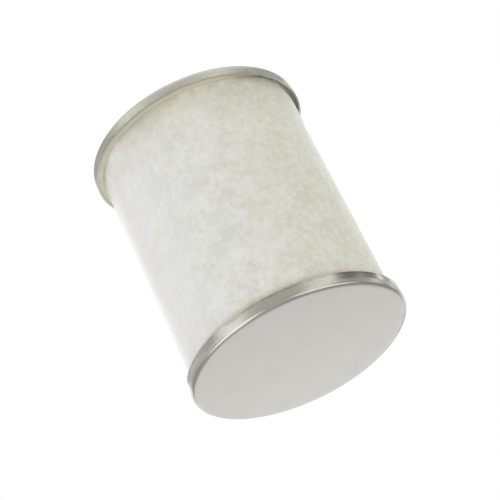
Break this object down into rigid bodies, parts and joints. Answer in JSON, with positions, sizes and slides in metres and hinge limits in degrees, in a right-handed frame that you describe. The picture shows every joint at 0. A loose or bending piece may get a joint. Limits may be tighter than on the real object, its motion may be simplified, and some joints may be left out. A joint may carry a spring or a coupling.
{
  "type": "air line filter element",
  "caption": "Cylindrical cartridge for a compressed air line filter: thick white felt sleeve between two pressed metal end caps, one closed and one with an inlet neck and a face gasket.",
  "frame": {"origin": "centre of the closed end cap's outer face, on which the element stands", "axes": "+Z along the element's axis, from the closed end to the open end with the air inlet; +X to the right and the seams of the rolled layers towards +Y"},
  "size_m": [0.05, 0.05, 0.0626],
  "materials": {
    "cap_metal": "satin tinplate",
    "felt": "soft needled felt",
    "resin": "cured cream resin",
    "support_metal": "plain rolled sheet",
    "medium": "matt glass fibre sheet",
    "gasket_rubber": "matt black rubber"
  },
  "bodies": {
    "root": {"closed_end_cap": "cap_metal", "open_end_cap": "cap_metal", "drain_sleeve": "felt", "closed_end_potting": "resin", "open_end_potting": "resin", "outer_support_tube": "support_metal", "filter_medium": "medium", "inner_support_tube": "support_metal", "face_gasket": "gasket_rubber"}
  },
  "joints": []
}
